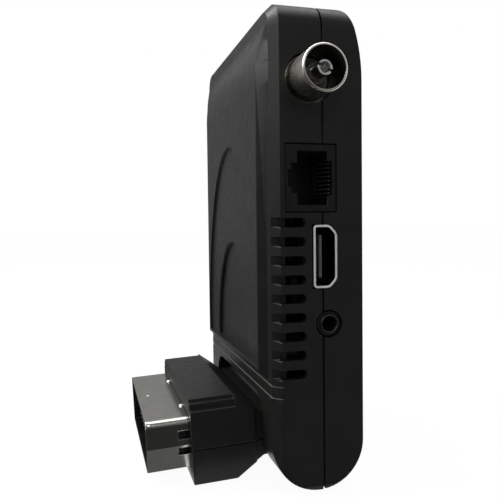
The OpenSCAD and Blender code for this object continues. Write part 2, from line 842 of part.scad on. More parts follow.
module bush() {
    y0 = notch_half_w + wall + fit;
    r_out = end_r - wall - loose;
    color("#c9c6ba") in_place() translate([0, 0, end_r]) difference() {
        bar_y(r_out, y0, y0 + bush_t);
        bar_y(axle_r + axle_run, y0 - cut, y0 + bush_t + cut);
    }
}

module hinge_bush_near() {
    translate([0, 2 * origin_y, 0]) mirror([0, 1, 0]) bush();
}

module hinge_bush_far() {
    bush();
}

module friction_washers() {
    gap = barrel_gap - washer_t;
    color("#9b9da0") in_place() translate([0, 0, end_r]) both_edges() difference() {
        bar_y(barrel_r - 1, barrel_half_w + gap / 2, barrel_half_w + gap / 2 + washer_t);
        bar_y(axle_r + fit, barrel_half_w - cut, notch_half_w + cut);
    }
}

module axle() {
    color("#aeb0b2") difference() {
        bar_y(axle_r, barrel_half_w - axle_grip, axle_end);
        bar_y(axle_bore_r, barrel_half_w - axle_grip - cut, axle_end + cut);
    }
}

module hinge_axle_near() {
    in_plug() mirror([0, 1, 0]) axle();
}

module hinge_axle_far() {
    in_plug() axle();
}

// Plug, drawn with its centre line along -X from the hinge axis

// Side outline of neck and hood, drawn in by an inset
module hood_profile(inset) {
    top = hood_top_h - inset;
    low = hood_low_h - inset;
    n = neck_half_h - inset;
    polygon([[-4, n], [-neck_reach, n], [-hood_shoulder - inset * 0.4, top], [-hood_front, top],
             [-hood_front, -low], [-hood_low_shoulder - inset * 0.4, -low], [-neck_reach, -n], [-4, -n]]);
}

// Outline of the shield seen from its front, keyed at the lower corner of the -Y end
module shield_outline(grow) {
    w = shield_w / 2 + grow;
    top = shield_top + grow;
    low = shield_top - shield_h - grow;
    polygon([[w, top], [-w, top], [-w, -shield_drop], [-w + shield_slant, low], [w, low]]);
}

// The shield outline as a solid between two distances from the hinge
module shield_solid(near, far, grow) {
    translate([-near, 0, 0]) rotate([90, 0, -90]) linear_extrude(far - near) mirror([1, 0]) shield_outline(grow);
}

// Neck, hood and barrel as one hollow moulding, before it is split
module hood_form() {
    difference() {
        union() {
            difference() {
                plate_y(-barrel_half_w, barrel_half_w) hood_profile(0);
                both_edges() slab([-neck_reach - 2, neck_half_w, -case_t], [0, case_w, case_t]);
            }
            bar_y(barrel_r, -barrel_half_w, barrel_half_w);
        }
        plate_y(-barrel_half_w + hood_wall, barrel_half_w - hood_wall) intersection() {
            hood_profile(hood_wall);
            translate([-hood_front + hood_wall, -case_t]) square([hood_front, 2 * case_t]);
        }
        bar_y(barrel_r - hood_wall, -barrel_half_w + axle_grip, barrel_half_w - axle_grip);
        bar_y(axle_r + 0.02, -barrel_half_w - cut, barrel_half_w + cut);
        both_edges() {
            slab([-hood_front - cut, barrel_half_w - 2 * shoulder_step_w, hood_top_h - shoulder_step_1],
                 [-hood_shoulder, barrel_half_w + cut, hood_top_h + cut]);
            slab([-hood_front - cut, barrel_half_w - shoulder_step_w,
                  hood_top_h - shoulder_step_1 - shoulder_step_2],
                 [-hood_shoulder, barrel_half_w + cut, hood_top_h + cut]);
        }
        shield_solid(hood_front - hood_wall - cut, hood_front + cut, fit);
    }
}

// A child at each of the two screws that hold the cover
module at_plug_screws() {
    both_edges() translate([-hood_shoulder - 2.2, barrel_half_w - 8.9, 0]) children();
}

cover_back = barrel_r + 0.5;

module plug_hood() {
    pillar_r = 2.4;
    color("#202121") in_plug() {
        difference() {
            hood_form();
            difference() {
                slab([-hood_front - cut, -case_w, -case_t], [0, case_w, hood_split]);
                bar_y(cover_back - 0.4, -case_w, case_w);
            }
        }
        at_plug_screws() translate([0, 0, hood_split]) difference() {
            cylinder(r = pillar_r, h = hood_top_h - hood_wall - hood_split + fit);
            translate([0, 0, -cut]) cylinder(r = 0.85, h = 6 + cut);
        }
    }
}

module plug_cover() {
    pillar_r = 2.4;
    low = -hood_low_h + 0.01;
    color("#1f2020") in_plug() difference() {
        union() {
            intersection() {
                hood_form();
                difference() {
                    slab([-hood_front - cut, -case_w, -case_t], [0, case_w, hood_split - 0.15]);
                    bar_y(cover_back, -case_w, case_w);
                }
            }
            at_plug_screws() translate([0, 0, -hood_low_h + hood_wall - fit])
                cylinder(r = pillar_r + 0.6, h = hood_low_h - hood_wall + hood_split - 0.15 + fit);
        }
        at_plug_screws() translate([0, 0, low - cut]) {
            cylinder(r = 1.05, h = case_t / 2);
            cylinder(r = 2.1, h = cut + 2.6);
        }
    }
}

module plug_screws() {
    head = -hood_low_h + 2.6;
    color("#5b5d60") in_plug() at_plug_screws() difference() {
        union() {
            translate([0, 0, head]) cylinder(r = 0.8, h = hood_split - head + 5);
            translate([0, 0, head - 1.4]) cylinder(r = 1.8, h = 1.4);
        }
        for (turn = [0, 90]) rotate([0, 0, turn]) slab([-1.1, -0.25, head - 1.4 - cut], [1.1, 0.25, head - 0.7]);
    }
}

shield_root = hood_front - hood_wall - 2.6;

module plug_shield() {
    window = [2.9, 2.1];
    color("#b4b1a6") in_plug() difference() {
        union() {
            shield_solid(shield_root, shield_front, 0);
            shield_solid(hood_front - hood_wall - 1.3, hood_front - hood_wall - fit, hood_side_gap - fit);
        }
        shield_solid(shield_root - cut, shield_front + cut, -shield_t);
        for (h = [1.1, -3.3])
            slab([-hood_front - window[0], -shield_w, h], [-hood_front + 0.5, -shield_w / 2 + 3, h + window[1]]);
    }
}

// A child at each of the twenty blade places, in two staggered rows
module at_blades() {
    for (row = [-1, 1], i = [0 : 9])
        translate([0, (i - 4.5 + row / 4) * blade_pitch, row * blade_rows / 2 - shield_drop]) children();
}

module plug_insulator() {
    back = shield_root + 0.4;
    front = hood_front + 1.2;
    color("#141515") in_plug() difference() {
        shield_solid(back, front, -shield_t - fit);
        at_blades() slab([-front - cut, -blade_w / 2 - 0.05, -blade_t / 2 - 0.05],
                         [-back + cut, blade_w / 2 + 0.05, blade_t / 2 + 0.05]);
    }
}

blade_tail = 1.4;

module plug_contacts() {
    back = shield_root - blade_tail;
    tip = shield_front - 1.6;
    color("#c6c3b8") in_plug() at_blades() union() {
        slab([-tip + 0.8, -blade_w / 2, -blade_t / 2], [-back, blade_w / 2, blade_t / 2]);
        slab([-tip, -blade_w / 2 + 0.4, -blade_t / 4], [-tip + 0.9, blade_w / 2 - 0.4, blade_t / 4]);
    }
}

module plug_harness() {
    bend_y = barrel_half_w - axle_grip - 8;
    end_x = -shield_root + blade_tail + fit;
    color("#7a3a36") in_plug() {
        bar_y(lead_r, bend_y, axle_end);
        translate([0, bend_y, 0]) sphere(lead_r);
        translate([0, bend_y, 0]) bar_x(lead_r, end_x, 0);
    }
}

front_shell();
rear_shell();
case_screws();
main_board();
tuner_can();
aerial_socket_tube();
aerial_insulator();
aerial_contact();
network_socket();
network_contacts();
video_socket_shell();
video_socket_insert();
video_contacts();
infrared_socket();
infrared_contacts();
usb_shell();
usb_insert();
usb_contacts();
power_socket();
power_pin();
processor_chip();
heat_sink();
memory_chip();
capacitors();
power_coil();
crystal();
harness_header();
case_harness();
hinge_bush_near();
hinge_bush_far();
friction_washers();
hinge_axle_near();
hinge_axle_far();
plug_hood();
plug_cover();
plug_screws();
plug_shield();
plug_insulator();
plug_contacts();
plug_harness();
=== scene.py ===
"""Looks for a plug-in television decoder that stands on its round end, its plug swung to the front.

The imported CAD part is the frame: +Z up, -X the front, -Y the edge with the ports, in metres.
"""

import json
import math

import bmesh
import bpy
import numpy as np
from mathutils import Matrix, Vector


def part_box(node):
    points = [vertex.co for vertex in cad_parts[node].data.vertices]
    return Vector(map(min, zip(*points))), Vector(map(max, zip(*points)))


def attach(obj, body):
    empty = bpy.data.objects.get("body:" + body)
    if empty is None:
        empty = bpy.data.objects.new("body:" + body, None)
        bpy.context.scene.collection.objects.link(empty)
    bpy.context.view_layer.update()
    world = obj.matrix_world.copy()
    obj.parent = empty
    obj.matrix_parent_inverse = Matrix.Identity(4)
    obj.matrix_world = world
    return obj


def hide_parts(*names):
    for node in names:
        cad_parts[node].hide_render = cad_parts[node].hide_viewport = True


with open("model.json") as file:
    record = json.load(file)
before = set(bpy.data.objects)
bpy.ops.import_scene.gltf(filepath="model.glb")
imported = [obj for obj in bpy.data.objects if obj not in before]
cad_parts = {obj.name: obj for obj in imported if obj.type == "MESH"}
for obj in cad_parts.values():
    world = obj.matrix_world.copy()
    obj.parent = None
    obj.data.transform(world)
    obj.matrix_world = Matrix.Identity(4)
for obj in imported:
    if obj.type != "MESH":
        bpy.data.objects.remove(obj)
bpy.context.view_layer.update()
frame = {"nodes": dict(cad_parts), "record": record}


# Sizes and places that the looks are fitted to


def mount_place(name):
    """The place of one of the part's mounts, in metres."""
    return np.array(next(mount["pos_m"] for mount in frame["record"]["mounts"] if mount["name"] == name))


MM = 0.001
SLOT_OF = {part["node"]: part["material_slot"] for part in frame["record"]["subparts"]}
BODY_OF = {node: body for body, nodes in frame["record"]["behaviour"]["bodies"].items() for node in nodes}

# The case: its round end, hinge, front face and the wall with the ports
END_R = 11.5 * MM
HINGE = np.array([14.5761 * MM, 4.85 * MM, END_R])
FRONT = HINGE[0] - END_R
EDGE_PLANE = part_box("front_shell")[0][1]
AERIAL = mount_place("aerial_centre")
INFRARED = mount_place("infrared_jack")
EDGE_WALL = 1.0 * MM

# The front panel: the levels ahead of the front face at which its arches are cut, and their reach
ARCH_LEVELS = np.array([2.0, 1.2]) * MM
ARCH_HALF_W = 29.45 * MM
ARCH_LOW, ARCH_HIGH = 29.6 * MM, 100 * MM
PANEL_RISE = 2.01 * MM
FRONT_SKIN = 0.02 * MM

# The ridge where the panel turns into its ramp, the slope of the ramp and how the ridge is eased
RIDGE_Z, RIDGE_REACH = 103.2 * MM, 5.4 * MM
RAMP_SLOPE = 0.233
RIDGE_BAND, RIDGE_MERGE = 0.05 * MM, 0.03 * MM
RIDGE_LEVELS = 10

# The two fine grooves and the cooling slots: heights, and depths behind the front face
GROOVE_Z = np.array([23.2, 26.0]) * MM
GROOVE_BACK, LIP_BACK = 2.8 * MM, 2.3 * MM
SLOTS_LOW, SLOTS_HIGH = 27 * MM, 70 * MM
SLOT_MOUTH = 2.2 * MM

# The plug, in mm ahead of, beside and above the hinge
DROOP = -math.radians(frame["record"]["behaviour"]["joints"][0]["range_deg"][0])
COVER_HALF_W = (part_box("plug_cover")[1][1] - HINGE[1]) / MM
COVER_FOOT = -3
SHIELD_TOP, SHIELD_HALF_W, SHIELD_MOUTH = 6.4, 23.2, 39.5
SHIELD_WALL, SHIELD_DROP, SHIELD_BEND = 0.5, 0.5, 1.6
SHIELD_NEAR = 0.02

# The video socket's tongue starts where the insert's block ends
TONGUE_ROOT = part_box("video_socket_insert")[1][1] - 2.7 * MM


def plug_place(ahead, side, up):
    """A place on the plug at rest: mm ahead of, beside and above the hinge, tipped by the plug's droop."""
    return HINGE + np.array([-ahead * math.cos(DROOP) - up * math.sin(DROOP), side,
                             -ahead * math.sin(DROOP) + up * math.cos(DROOP)]) * MM


def plug_reach(place):
    """The opposite of plug_place: mm ahead of, beside and above the hinge."""
    x, side, z = (place - HINGE) / MM
    return -x * math.cos(DROOP) - z * math.sin(DROOP), side, -x * math.sin(DROOP) + z * math.cos(DROOP)


# Finishes


NOISE_LOW, NOISE_HIGH = 0.3, 0.7


class Finish:
    """A material under construction: its node tree, its main shader and object-space coordinates."""

    def __init__(self, name):
        self.material = bpy.data.materials.new(name)
        self.material.use_nodes = True
        self.tree = self.material.node_tree
        self.shader = self.tree.nodes["Principled BSDF"]
        self.place = self.tree.nodes.new("ShaderNodeTexCoord").outputs["Object"]

    def node(self, kind, **values):
        """Adds a node; values name either its properties or its input sockets."""
        made = self.tree.nodes.new(kind)
        for key, value in values.items():
            if hasattr(made, key):
                setattr(made, key, value)
            else:
                made.inputs[key.replace("_", " ")].default_value = value
        return made

    def link(self, source, target):
        """Joins an output socket to an input socket."""
        self.tree.links.new(source, target)

    def noise(self, size, detail=2.0, rough=0.5, stretch=None):
        """Noise whose features are about size metres wide, drawn out by a stretch per axis."""
        made = self.node("ShaderNodeTexNoise", Scale=1.0 / size, Detail=detail, Roughness=rough)
        source = self.place
        if stretch:
            mapping = self.node("ShaderNodeMapping", Scale=stretch)
            self.link(source, mapping.inputs["Vector"])
            source = mapping.outputs["Vector"]
        self.link(source, made.inputs["Vector"])
        return made.outputs["Fac"]

    def sheen(self, source, rough, spread):
        """Roughness that swings by spread either way as a noise runs through its middle range."""
        made = self.node("ShaderNodeMapRange", From_Min=NOISE_LOW, From_Max=NOISE_HIGH,
                         To_Min=rough - spread, To_Max=rough + spread)
        self.link(source, made.inputs["Value"])
        self.link(made.outputs["Result"], self.shader.inputs["Roughness"])

    def tone(self, source, dark, light):
        """Base colour that goes from dark to light as a noise runs through its middle range."""
        ramp = self.node("ShaderNodeValToRGB")
        for stop, position, colour in zip(ramp.color_ramp.elements, (NOISE_LOW, NOISE_HIGH), (dark, light)):
            stop.position = position
            stop.color = (*colour, 1)
        self.link(source, ramp.inputs["Fac"])
        self.link(ramp.outputs["Color"], self.shader.inputs["Base Color"])

    def bumps(self, source, depth, strength):
        """Small bumps of a given depth in metres."""
        bump = self.node("ShaderNodeBump", Strength=strength, Distance=depth)
        self.link(source, bump.inputs["Height"])
        self.link(bump.outputs["Normal"], self.shader.inputs["Normal"])


def grained_plastic(name, dark, light, rough, grain, depth, gloss):
    """Moulded plastic with a spark-eroded grain: fine bumps, a faint cloud of tone and uneven sheen."""
    cloud, patch, sheen_spread, bump_strength = 6 * MM, 2.2 * MM, 0.05, 0.2
    f = Finish(name)
    f.tone(f.noise(cloud, 3.0), dark, light)
    f.sheen(f.noise(patch, 2.0), rough, sheen_spread)
    f.bumps(f.noise(grain * MM, 2.0, 0.6), depth * MM, bump_strength)
    f.shader.inputs["Specular IOR Level"].default_value = gloss
    return f.material


def plated_metal(name, dark, light, rough, along=(1, 1, 1), metallic=1.0):
    """Plated sheet: polished metal with faint draw marks along one direction and a little mottle."""
    mottle, patch, mark, sheen_spread = 4 * MM, 1.2 * MM, 0.9 * MM, 0.025
    mark_depth, mark_strength = 0.01 * MM, 0.05
    f = Finish(name)
    f.shader.inputs["Metallic"].default_value = metallic
    f.tone(f.noise(mottle, 3.0), dark, light)
    f.sheen(f.noise(patch, 3.0, 0.6, along), rough, sheen_spread)
    f.bumps(f.noise(mark, 2.0, 0.5, along), mark_depth, mark_strength)
    return f.material


# Dark and light tone, roughness, size and depth of the grain in mm, gloss
PLASTICS = {
    "black_case": ((0.0112, 0.0126, 0.0106), (0.0146, 0.0162, 0.0139), 0.4, 0.35, 0.012, 0.28),
    "black_hood": ((0.0112, 0.0126, 0.0106), (0.0146, 0.0162, 0.0139), 0.4, 0.35, 0.012, 0.28),
    # A light plastic that paints highlights on the lower lips of the grooves and cooling slots
    "painted_highlight_black": ((0.2, 0.2, 0.19), (0.25, 0.25, 0.24), 0.35, 0.35, 0.005, 0.5),
    "black_connector": ((0.008, 0.008, 0.008), (0.012, 0.012, 0.012), 0.34, 0.6, 0.01, 0.3),
    "matte_insulator": ((0.006, 0.006, 0.006), (0.009, 0.009, 0.009), 0.85, 0.6, 0.01, 0.04),
    "cream_plastic": ((0.62, 0.58, 0.48), (0.7, 0.66, 0.56), 0.45, 0.6, 0.01, 0.4),
    # The cream plastic made darker: painted shade on the aerial insulator inside its tube
    "cream_with_painted_shade": ((0.22, 0.21, 0.19), (0.27, 0.26, 0.235), 0.45, 0.6, 0.01, 0.4),
    "grey_tongue": ((0.1, 0.1, 0.095), (0.13, 0.13, 0.12), 0.45, 0.6, 0.01, 0.3),
    "board_green": ((0.02, 0.13, 0.06), (0.03, 0.18, 0.09), 0.35, 0.8, 0.01, 0.5),
    "chip_black": ((0.012, 0.012, 0.013), (0.018, 0.018, 0.019), 0.5, 0.4, 0.01, 0.4),
    "capacitor_sleeve": ((0.02, 0.035, 0.07), (0.03, 0.045, 0.085), 0.25, 1.0, 0.005, 0.5),
    "coil_grey": ((0.07, 0.07, 0.065), (0.1, 0.1, 0.09), 0.7, 0.4, 0.03, 0.3),
    "lead_sleeve": ((0.13, 0.03, 0.025), (0.18, 0.045, 0.035), 0.5, 0.8, 0.01, 0.4),
}
# Dark and light tone, roughness, then where needed the stretch of the draw marks and the share of metal
METALS = {
    "dark_steel": ((0.2, 0.2, 0.21), (0.27, 0.27, 0.28), 0.38),
    "tinned_steel": ((0.55, 0.55, 0.56), (0.64, 0.64, 0.65), 0.34),
    "satin_nickel": ((0.52, 0.51, 0.47), (0.58, 0.57, 0.525), 0.2, (1, 0.2, 3)),
    "warm_nickel": ((0.66, 0.63, 0.56), (0.74, 0.71, 0.64), 0.28),
    "bright_nickel": ((0.82, 0.82, 0.8), (0.88, 0.88, 0.86), 0.3),
    # A nickel made white and partly dull: the lip's nickel and a painted highlight on it
    "nickel_with_painted_highlight": ((0.86, 0.86, 0.84), (0.92, 0.92, 0.9), 0.35, (1, 1, 1), 0.3),
    "gilt": ((0.24, 0.22, 0.17), (0.3, 0.27, 0.21), 0.4),
    # A darker gilt: painted shade on the network socket's contacts
    "gilt_with_painted_shade": ((0.13, 0.12, 0.1), (0.17, 0.155, 0.13), 0.4),
    # A darker nickel: painted shade in the aerial tube's bore and on its foot
    "nickel_with_painted_shade": ((0.16, 0.15, 0.13), (0.22, 0.21, 0.185), 0.25),
    # Dark nickel for the video socket's shell and the infrared ring, and painted shade on the plug shield's inner
    # faces
    "black_nickel_and_painted_shade": ((0.06, 0.06, 0.06), (0.09, 0.09, 0.09), 0.25),
    "grey_aluminium": ((0.42, 0.43, 0.45), (0.5, 0.51, 0.53), 0.42, (1, 4, 0.2)),
}
FINISHES = {
    **{name: grained_plastic(name, *values) for name, values in PLASTICS.items()},
    **{name: plated_metal(name, *values) for name, values in METALS.items()},
}
# Pieces that look other than their slot does; the aerial insulator's darker cream and the network contacts' darker
# gilt are painted shade
FINISH_OF = {
    "aerial_insulator": "cream_with_painted_shade", "aerial_contact": "bright_nickel", "network_contacts": "gilt_with_painted_shade",
    "video_socket_shell": "black_nickel_and_painted_shade", "plug_insulator": "matte_insulator",
}


def finish_of(node):
    """The finish of a CAD piece: its slot's own, unless it has one to itself."""
    return FINISHES[FINISH_OF.get(node, SLOT_OF[node])]


def dress(piece, finish):
    """Gives a piece one finish all over."""
    piece.data.materials.clear()
    piece.data.materials.append(finish)


def second_finish(piece, finish, chosen):
    """Gives a second finish to the faces for which chosen(centre, normal) holds."""
    piece.data.materials.append(FINISHES[finish])
    for face in piece.data.polygons:
        if chosen(np.array(face.center), np.array(face.normal)):
            face.material_index = 1


# CAD pieces with their edges eased


LEAST_TURN, FOLD_TURN = 28.0, 100.0
SMALL_STEPS, LARGE_STEPS = 2, 5
MOST_TRIES = 16


def joined_faces(node):
    """A merged copy of a CAD piece's mesh, its flat triangles joined so that only real edges are left."""
    grid = bmesh.new()
    grid.from_mesh(frame["nodes"][node].data)
    bmesh.ops.remove_doubles(grid, verts=grid.verts, dist=2e-6)
    bmesh.ops.dissolve_limit(grid, angle_limit=math.radians(0.4), verts=grid.verts, edges=grid.edges)
    return grid


def turn_at(edge):
    """The angle in degrees by which the surface turns at an edge."""
    return math.degrees(edge.calc_face_angle(0.0)) if len(edge.link_faces) == 2 else 0.0


def edge_key(start, end):
    """An edge's middle in steps of a tenth of a micron, to know the edge again."""
    return tuple(np.round((start + end) / 2 * 1e7).astype(int))


def round_edges(grid, chosen, width, steps, left_sharp=()):
    """Rounds the edges for which chosen(angle in degrees, middle, direction) holds and returns their ends."""
    picked = {}
    for edge in grid.edges:
        angle = turn_at(edge)
        if angle < LEAST_TURN:
            continue
        start, end = (np.array(corner.co) for corner in edge.verts)
        run = (end - start) / max(np.linalg.norm(end - start), 1e-9)
        if edge_key(start, end) not in left_sharp and chosen(angle, (start + end) / 2, run):
            picked[edge] = (start, end)
    bmesh.ops.bevel(grid, geom=list(picked), offset=width, segments=steps, profile=0.5, affect="EDGES",
                    clamp_overlap=False, offset_type="OFFSET")
    return np.array(list(picked.values()))


def folded_places(grid):
    """The middles of the edges where a face doubles back on its neighbour."""
    return [np.array((edge.verts[0].co + edge.verts[1].co) / 2) for edge in grid.edges
            if turn_at(edge) > FOLD_TURN]


def folding_edges(rounded, width, places):
    """For each folded place, the shortest rounded edge within reach of it, or else the nearest one."""
    start, end = rounded[:, 0], rounded[:, 1]
    run = end - start
    length = np.linalg.norm(run, axis=1)
    reach = 1.5 * width + 0.05 * MM
    keys = set()
    for place in places:
        along = np.clip(((place - start) * run).sum(1) / np.maximum(length ** 2, 1e-14), 0, 1)
        gap = np.linalg.norm(place - start - along[:, None] * run, axis=1)
        near = gap < reach
        found = np.argmin(np.where(near, length, np.inf)) if near.any() else np.argmin(gap)
        keys.add(edge_key(start[found], end[found]))
    return keys


def rounded_grid(node, width, turn, large_rounds, shaped):
    """The joined faces of a CAD piece with its edges rounded.

    Shaping of the joined faces, if any, comes first, then the large rounds, each a choice of edges with a
    width, and then the small rounds. Where a small round folds over, for want of room, the shortest edge there
    is left sharp and all is made again.
    """
    left_sharp = set()
    for tries_left in reversed(range(MOST_TRIES)):
        grid = joined_faces(node)
        if shaped:
            shaped(grid)
        for chosen, large in large_rounds:
            round_edges(grid, chosen, large, LARGE_STEPS)
        rounded = round_edges(grid, lambda angle, middle, run: angle > turn, width, SMALL_STEPS, left_sharp)
        places = folded_places(grid)
        fresh = folding_edges(rounded, width, places) - left_sharp if places else set()
        if not fresh or not tries_left:
            return grid
        left_sharp |= fresh
        grid.free()


def eased(node, width, turn=LEAST_TURN, large_rounds=(), crease=35.0, shaped=None):
    """A merged copy of a CAD piece whose edges sharper than turn degrees get a round of the given width.

    The normals are weighed by face area, so that the flats stay flat and the shading turns on the rounds alone.
    The shading breaks at edges sharper than the crease angle.
    """
    grid = rounded_grid(node, width, turn, large_rounds, shaped)
    bmesh.ops.dissolve_degenerate(grid, dist=1e-6, edges=grid.edges)
    mesh = bpy.data.meshes.new(node + "_eased")
    grid.to_mesh(mesh)
    grid.free()
    if "custom_normal" in mesh.attributes:
        mesh.attributes.remove(mesh.attributes["custom_normal"])
    mesh.shade_smooth()
    mesh.set_sharp_from_angle(angle=math.radians(crease))
    piece = bpy.data.objects.new(node + "_eased", mesh)
    bpy.context.scene.collection.objects.link(piece)
    weighed = piece.modifiers.new("flats_stay_flat", "WEIGHTED_NORMAL")
    weighed.mode = "FACE_AREA"
    weighed.weight = 100
    weighed.keep_sharp = True
    dress(piece, finish_of(node))
    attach(piece, BODY_OF[node])
    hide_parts(node)
    return piece


def on_arch(angle, middle, run):
    """True for the upper edges of the two arch recesses on the front panel."""
    on_level = np.abs(FRONT - middle[0] - ARCH_LEVELS).min() < 0.01 * MM
    within = abs(middle[1] - HINGE[1]) < ARCH_HALF_W and ARCH_LOW < middle[2] < ARCH_HIGH
    return angle > 60 and on_level and within


def on_groove(angle, middle, run):
    """True for the edges of the two fine grooves below the panel."""
    return angle > 50 and np.abs(middle[2] - GROOVE_Z).min() < 0.2 * MM and middle[0] < FRONT + GROOVE_BACK


def on_cover_foot(angle, middle, run):
    """True for the lower edges of the plug cover's two outer sides."""
    _, side, up = plug_reach(middle)
    return abs(abs(side) - COVER_HALF_W) < 0.05 and up < COVER_FOOT


def on_shield_top(inset):
    """A test for the shield's upper edge on the ports' side: the outer one at inset 0, the inner a wall inside."""
    def test(angle, middle, run):
        _, side, up = plug_reach(middle)
        at_edge = abs(up - SHIELD_TOP + inset) < SHIELD_NEAR and abs(side + SHIELD_HALF_W - inset) < SHIELD_NEAR
        return angle > 80 and abs(run[0]) > 0.99 and at_edge
    return test


def clear_mouth_corners(grid):
    """Moves the seams of the flat rim of the shield's mouth from its corners to its middle line."""
    bmesh.ops.bisect_plane(grid, geom=[*grid.verts, *grid.edges, *grid.faces], dist=1e-7, plane_co=HINGE,
                           plane_no=(0, 1, 0))
    rim = {face for face in grid.faces
           if face.normal.x < -0.9 and plug_reach(np.array(face.calc_center_median()))[0] > SHIELD_MOUTH}
    seams = [edge for edge in grid.edges if len(edge.link_faces) == 2 and set(edge.link_faces) <= rim
             and max(abs(corner.co.y - HINGE[1]) for corner in edge.verts) > 1e-6]
    bmesh.ops.dissolve_edges(grid, edges=seams, use_verts=False)


def soften_ramp(grid):
    """Eases the ridge where the panel turns into its ramp.

    The front is cut level by level, and over a reach on either side of the ridge its points sink towards the
    front face by a parabola of their height, which meets the panel and the ramp without a break.
    """
    ridge = [corner for corner in grid.verts
             if abs(corner.co.z - RIDGE_Z) < RIDGE_BAND and corner.co.x < FRONT - PANEL_RISE / 2]
    bmesh.ops.remove_doubles(grid, verts=ridge, dist=RIDGE_MERGE)
    for level in RIDGE_Z + RIDGE_REACH * np.linspace(-1, 1, RIDGE_LEVELS):
        faces = [face for face in grid.faces
                 if face.normal.x < -0.5 and face.calc_center_median().x < FRONT + FRONT_SKIN]
        edges = {edge for face in faces for edge in face.edges}
        corners = {corner for face in faces for corner in face.verts}
        bmesh.ops.bisect_plane(grid, geom=[*faces, *edges, *corners], dist=1e-7, plane_co=(0, 0, level),
                               plane_no=(0, 0, 1))
    for corner in grid.verts:
        near = RIDGE_REACH - abs(corner.co.z - RIDGE_Z)
        if near > 0 and corner.co.x < FRONT - FRONT_SKIN:
            rise = (FRONT - corner.co.x) / PANEL_RISE
            corner.co.x += rise * RAMP_SLOPE * near ** 2 / (4 * RIDGE_REACH)


def on_lower_lip(centre, normal):
    """True for the upward faces of the two fine grooves and the rounds below the cooling slots' open ends."""
    in_groove = np.abs(centre[2] - GROOVE_Z).min() < 0.24 * MM and normal[2] > 0.3
    by_slot = centre[1] < EDGE_PLANE + SLOT_MOUTH and SLOTS_LOW < centre[2] < SLOTS_HIGH and normal[2] > 0.2
    return centre[0] <= FRONT + LIP_BACK and (in_groove or by_slot)


def inside_shield(centre, normal):
    """True for the shield's inner faces, whose normals point towards its middle line."""
    _, side, up = plug_reach(centre)
    return -side * normal[1] - (up + SHIELD_DROP) * normal[2] > 0.3 * (abs(side * normal[1]) + 1)


def inside_tube(centre, normal):
    """True for the aerial tube's bore, and for its foot behind the case's edge wall."""
    across, _, up = centre - AERIAL
    in_bore = across * normal[0] + up * normal[2] < -0.5 * math.hypot(across, up)
    return in_bore or centre[1] > EDGE_PLANE + EDGE_WALL


def on_tongue(centre, normal):
    """True for the video socket's tongue, ahead of the insert's block."""
    return centre[1] < TONGUE_ROOT


for name, item in frame["nodes"].items():
    dress(item, finish_of(name))

front = eased("front_shell", 0.2 * MM, 50, [(on_groove, 0.06 * MM), (on_arch, 0.5 * MM)], shaped=soften_ramp)
# The lower lips of the grooves and cooling slots get a light plastic: a painted highlight
second_finish(front, "painted_highlight_black", on_lower_lip)
eased("plug_cover", 0.25 * MM, large_rounds=[(on_cover_foot, 0.5 * MM)])
bends = [(on_shield_top(0), SHIELD_BEND * MM), (on_shield_top(SHIELD_WALL), (SHIELD_BEND - SHIELD_WALL) * MM)]
shield = eased("plug_shield", 0.15 * MM, large_rounds=bends, crease=20, shaped=clear_mouth_corners)
# The shield's inner faces get the dark nickel: painted shade inside the shield
second_finish(shield, "black_nickel_and_painted_shade", inside_shield)
tube = eased("aerial_socket_tube", 0.12 * MM)
# The tube's bore and its foot behind the edge wall get the darker nickel: painted shade
second_finish(tube, "nickel_with_painted_shade", inside_tube)
insert = eased("video_socket_insert", 0.08 * MM)
second_finish(insert, "grey_tongue", on_tongue)
# Widths in mm of the rounds on the pieces that need nothing else
PLAIN_ROUNDS = {
    "rear_shell": 0.25, "plug_hood": 0.3, "network_socket": 0.2, "infrared_socket": 0.15,
    "video_socket_shell": 0.12, "aerial_contact": 0.2, "aerial_insulator": 0.2,
}
for name, width in PLAIN_ROUNDS.items():
    eased(name, width * MM)


# Small metal details


def full_turn(count):
    """Angles spread evenly round a circle."""
    return np.linspace(0, 2 * np.pi, count, endpoint=False)


def closed_skin(name, points, finish, body, ring=False):
    """A piece over a grid of points whose rows are closed rings; with ring, the last row meets the first."""
    rows, around = points.shape[:2]
    index = np.arange(rows * around).reshape(rows, around)
    this, following = (index, np.roll(index, -1, 0)) if ring else (index[:-1], index[1:])
    quads = np.stack([this, following, np.roll(following, -1, 1), np.roll(this, -1, 1)], axis=-1).reshape(-1, 4)
    mesh = bpy.data.meshes.new(name)
    mesh.from_pydata(points.reshape(-1, 3).tolist(), [], quads.tolist())
    grid = bmesh.new()
    grid.from_mesh(mesh)
    bmesh.ops.remove_doubles(grid, verts=grid.verts, dist=1e-7)
    bmesh.ops.recalc_face_normals(grid, faces=grid.faces)
    grid.to_mesh(mesh)
    grid.free()
    mesh.shade_smooth()
    piece = bpy.data.objects.new(name, mesh)
    bpy.context.scene.collection.objects.link(piece)
    dress(piece, FINISHES[finish])
    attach(piece, body)


def bead(path, thick, deep, around=12):
    """Points of a rounded bead along a closed path in an upright plane that faces -Y.

    At each path point an ellipse is drawn, thick across the path within the plane and deep along Y.
    """
    run = np.roll(path, -1, 0) - np.roll(path, 1, 0)
    across = np.stack([run[:, 2], np.zeros(len(path)), -run[:, 0]], axis=1)
    across /= np.linalg.norm(across, axis=1, keepdims=True)
    turn = full_turn(around)[None, :, None]
    return (path[:, None] + thick / 2 * np.cos(turn) * across[:, None]
            + deep / 2 * np.sin(turn) * np.array([0, 1, 0]))


def rounded_path(corners, radius, steps=6):
    """A closed path through corners, each replaced by a quadratic curve that starts and ends a radius away."""
    back = np.roll(corners, 1, 0) - corners
    ahead = np.roll(corners, -1, 0) - corners
    start = corners + radius * back / np.linalg.norm(back, axis=1, keepdims=True)
    end = corners + radius * ahead / np.linalg.norm(ahead, axis=1, keepdims=True)
    t = np.linspace(0, 1, steps)[None, :, None]
    curve = (1 - t) ** 2 * start[:, None] + 2 * t * (1 - t) * corners[:, None] + t ** 2 * end[:, None]
    return curve.reshape(-1, 3)


